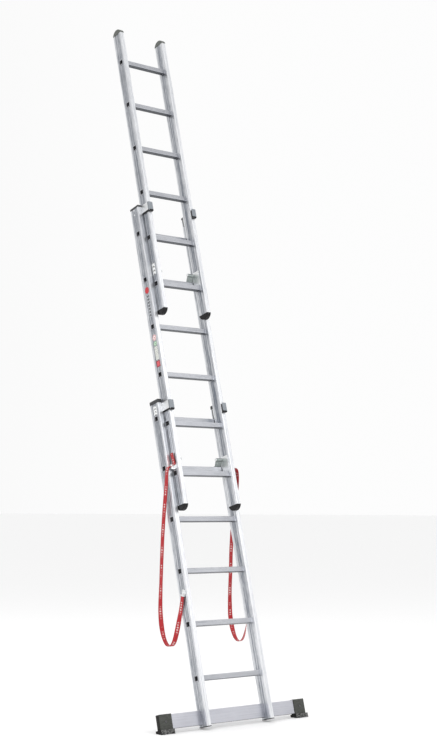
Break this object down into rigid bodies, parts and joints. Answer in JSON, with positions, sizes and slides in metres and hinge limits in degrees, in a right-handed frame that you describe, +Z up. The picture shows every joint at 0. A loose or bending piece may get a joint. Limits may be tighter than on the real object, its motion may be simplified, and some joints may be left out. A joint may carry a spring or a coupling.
{
  "type": "extension ladder",
  "caption": "Leaning aluminium extension ladder of nested sections with rung hooks, guide brackets, side safety straps and a wide base bar on rubber soles.",
  "frame": {"origin": "middle of the standing line, on the floor halfway between the two soles of the base bar", "axes": "+Z up; +X along the rungs towards the right stile as seen by a climber; +Y away from the climber, the way the ladder leans; the climber stands at -Y"},
  "size_m": [0.992, 1.0026, 3.9239],
  "materials": {
    "stile_aluminium": "extruded, satin",
    "rung_aluminium": "extruded, ribbed",
    "bar_aluminium": "extruded, ribbed, satin",
    "cap_grey": "moulded, matte",
    "cap_black": "moulded, matte",
    "end_cap_plastic": "moulded, matte",
    "guide_grey": "smooth grey coating",
    "pad_black": "moulded, matte",
    "foot_rubber": "moulded, matte",
    "hook_steel": "dark coating, satin",
    "zinc_steel": "zinc plated",
    "rivets": "set rivets, satin",
    "strap_fabric": "woven webbing"
  },
  "bodies": {
    "lower_section": {"lower_stile_left": "stile_aluminium", "lower_stile_right": "stile_aluminium", "lower_rung_1": "rung_aluminium", "lower_rung_2": "rung_aluminium", "lower_rung_3": "rung_aluminium", "lower_rung_4": "rung_aluminium", "lower_rung_5": "rung_aluminium", "lower_rung_6": "rung_aluminium", "lower_rivets": "rivets", "lower_top_caps": "cap_black", "lower_bottom_plugs": "cap_black", "base_bar": "bar_aluminium", "bar_bolts": "zinc_steel", "end_cap_screws": "zinc_steel", "strap_lower_anchors": "zinc_steel", "strap_lower_bolts": "zinc_steel", "end_cap_left": "end_cap_plastic", "rubber_sole_left": "foot_rubber", "lower_guide_left": "guide_grey", "strap_left": "strap_fabric", "end_cap_right": "end_cap_plastic", "rubber_sole_right": "foot_rubber", "lower_guide_right": "guide_grey", "strap_right": "strap_fabric", "lower_glide_pads": "pad_black"},
    "middle_section": {"middle_stile_left": "stile_aluminium", "middle_stile_right": "stile_aluminium", "middle_rung_1": "rung_aluminium", "middle_rung_2": "rung_aluminium", "middle_rung_3": "rung_aluminium", "middle_rung_4": "rung_aluminium", "middle_rung_5": "rung_aluminium", "middle_rung_6": "rung_aluminium", "middle_rivets": "rivets", "middle_top_caps": "cap_black", "middle_feet": "foot_rubber", "strap_upper_anchors": "zinc_steel", "strap_upper_bolts": "zinc_steel", "middle_guide_left": "guide_grey", "middle_guide_right": "guide_grey", "middle_glide_pads": "pad_black", "middle_hook_plates": "zinc_steel", "middle_hook_pins": "zinc_steel"},
    "upper_section": {"upper_stile_left": "stile_aluminium", "upper_stile_right": "stile_aluminium", "upper_rung_1": "rung_aluminium", "upper_rung_2": "rung_aluminium", "upper_rung_3": "rung_aluminium", "upper_rung_4": "rung_aluminium", "upper_rung_5": "rung_aluminium", "upper_rung_6": "rung_aluminium", "upper_rivets": "rivets", "upper_top_caps": "cap_grey", "upper_feet": "foot_rubber", "upper_hook_plates": "zinc_steel", "upper_hook_pins": "zinc_steel"},
    "middle_hook_left": {"middle_hook_left": "hook_steel"},
    "middle_hook_right": {"middle_hook_right": "hook_steel"},
    "upper_hook_left": {"upper_hook_left": "hook_steel"},
    "upper_hook_right": {"upper_hook_right": "hook_steel"}
  },
  "joints": [
    {"name": "middle_slide", "type": "slide", "parent": "lower_section", "child": "middle_section", "axis": [0, 0.2588, 0.9659], "range_m": [-1.12, 0], "deforming": ["strap_left", "strap_right"]},
    {"name": "upper_slide", "type": "slide", "parent": "middle_section", "child": "upper_section", "axis": [0, 0.2588, 0.9659], "range_m": [-1.12, 0]},
    {"name": "middle_hook_left_hinge", "type": "hinge", "parent": "middle_section", "child": "middle_hook_left", "pos_m": [0, 0.32216, 1.38584], "axis": [1, 0, 0], "range_deg": [0, 140]},
    {"name": "middle_hook_right_hinge", "type": "hinge", "parent": "middle_section", "child": "middle_hook_right", "pos_m": [0, 0.32216, 1.38584], "axis": [1, 0, 0], "range_deg": [0, 140]},
    {"name": "upper_hook_left_hinge", "type": "hinge", "parent": "upper_section", "child": "upper_hook_left", "pos_m": [0, 0.55049, 2.44276], "axis": [1, 0, 0], "range_deg": [0, 140]},
    {"name": "upper_hook_right_hinge", "type": "hinge", "parent": "upper_section", "child": "upper_hook_right", "pos_m": [0, 0.55049, 2.44276], "axis": [1, 0, 0], "range_deg": [0, 140]}
  ]
}
